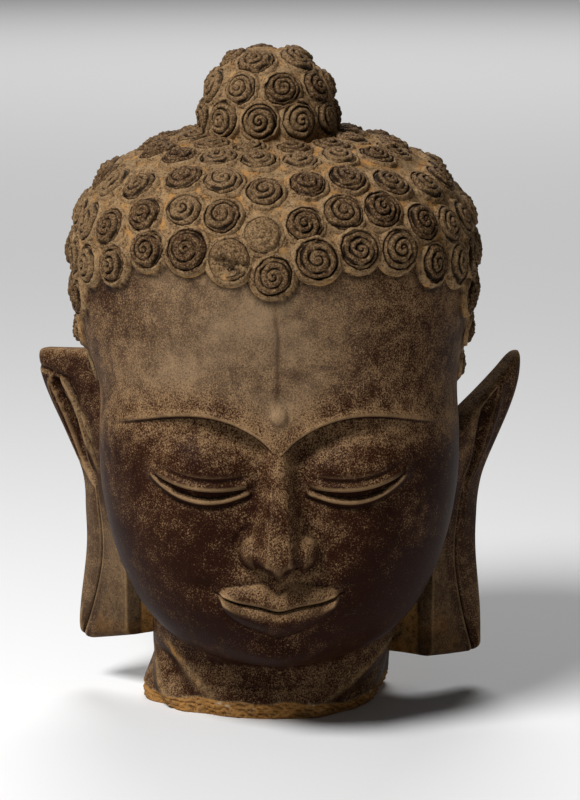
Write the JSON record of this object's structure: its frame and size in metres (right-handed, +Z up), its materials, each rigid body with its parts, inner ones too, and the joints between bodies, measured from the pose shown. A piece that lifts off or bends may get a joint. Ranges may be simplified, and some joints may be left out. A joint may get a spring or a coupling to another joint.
{
  "type": "buddha head sculpture",
  "caption": "Carved dark stone Buddha head, a little over life size, with snail-shell curls, topknot and long ears, broken off at the neck.",
  "frame": {"origin": "on the flat underside of the neck, in the face's middle plane, between the ears", "axes": "+Z up, the face looks along -Y, +X to the right as one looks at the face"},
  "size_m": [0.2837, 0.2527, 0.3799],
  "materials": {
    "carved_stone": "polished dark stone, matt and ochre in the hair and on the breaks"
  },
  "bodies": {
    "root": {"buddha_head": "carved_stone"}
  },
  "joints": []
}
